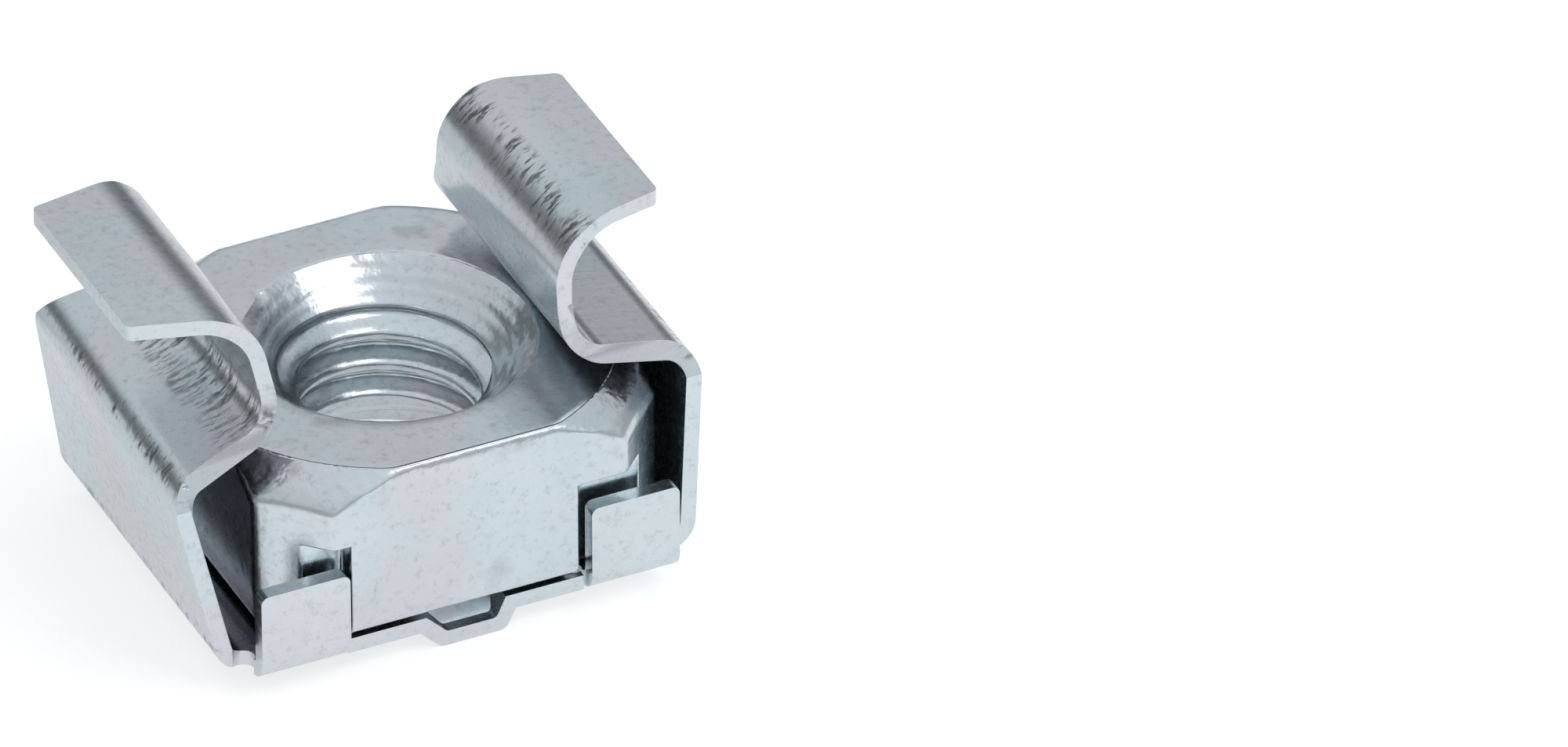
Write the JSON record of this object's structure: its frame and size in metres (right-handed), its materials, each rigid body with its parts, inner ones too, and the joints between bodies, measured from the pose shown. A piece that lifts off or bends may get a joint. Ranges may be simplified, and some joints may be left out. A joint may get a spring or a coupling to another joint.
{
  "type": "rack cage nut",
  "caption": "M6 cage nut for square rack holes: a square nut held loosely in a folded spring-steel cage with two gripping arms.",
  "frame": {"origin": "centre of the bolt hole in the cage's base, on the base's underside", "axes": "+X from the left arm to the right arm, +Y from the front tabs to the rear tabs, +Z along the bolt hole towards the panel"},
  "size_m": [0.0157, 0.0122, 0.011],
  "materials": {
    "cage_steel": "bright zinc plated",
    "nut_steel": "bright zinc plated"
  },
  "bodies": {
    "root": {"cage": "cage_steel", "nut": "nut_steel"}
  },
  "joints": []
}
